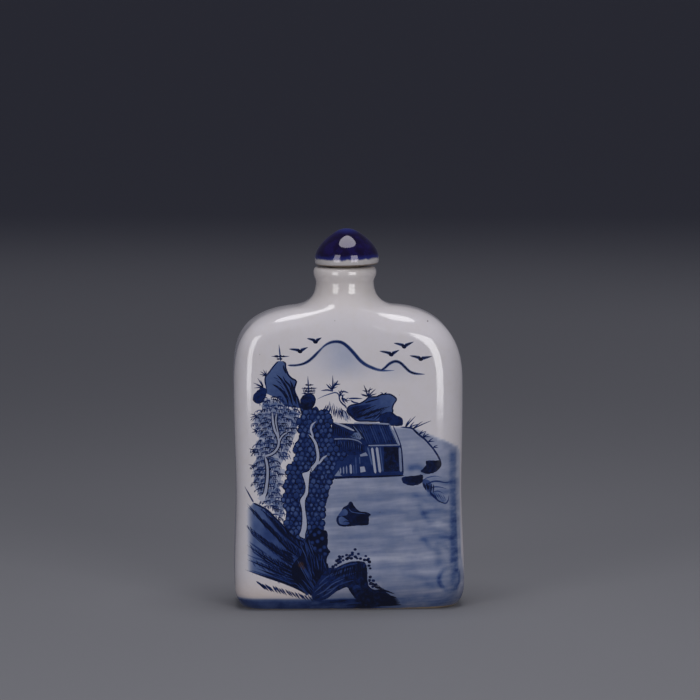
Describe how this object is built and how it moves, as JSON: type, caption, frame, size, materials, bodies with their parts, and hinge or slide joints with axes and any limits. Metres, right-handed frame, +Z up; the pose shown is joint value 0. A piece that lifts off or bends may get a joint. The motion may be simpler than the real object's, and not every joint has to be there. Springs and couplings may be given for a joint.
{
  "type": "snuff bottle",
  "caption": "Flattened upright porcelain snuff bottle with rounded shoulders, a short neck and a domed glazed stopper, painted with a blue landscape.",
  "frame": {"origin": "middle of the underside, on the plane the bottle stands on", "axes": "+Z up through the neck, -Y out of the painted front, +X to the right as seen from the front"},
  "size_m": [0.049, 0.02, 0.0801],
  "materials": {
    "porcelain": "glossy clear glaze over blue underglaze painting",
    "cobalt_glaze": "glossy deep cobalt glaze over a white rim"
  },
  "bodies": {
    "root": {"bottle": "porcelain", "stopper": "cobalt_glaze"}
  },
  "joints": []
}
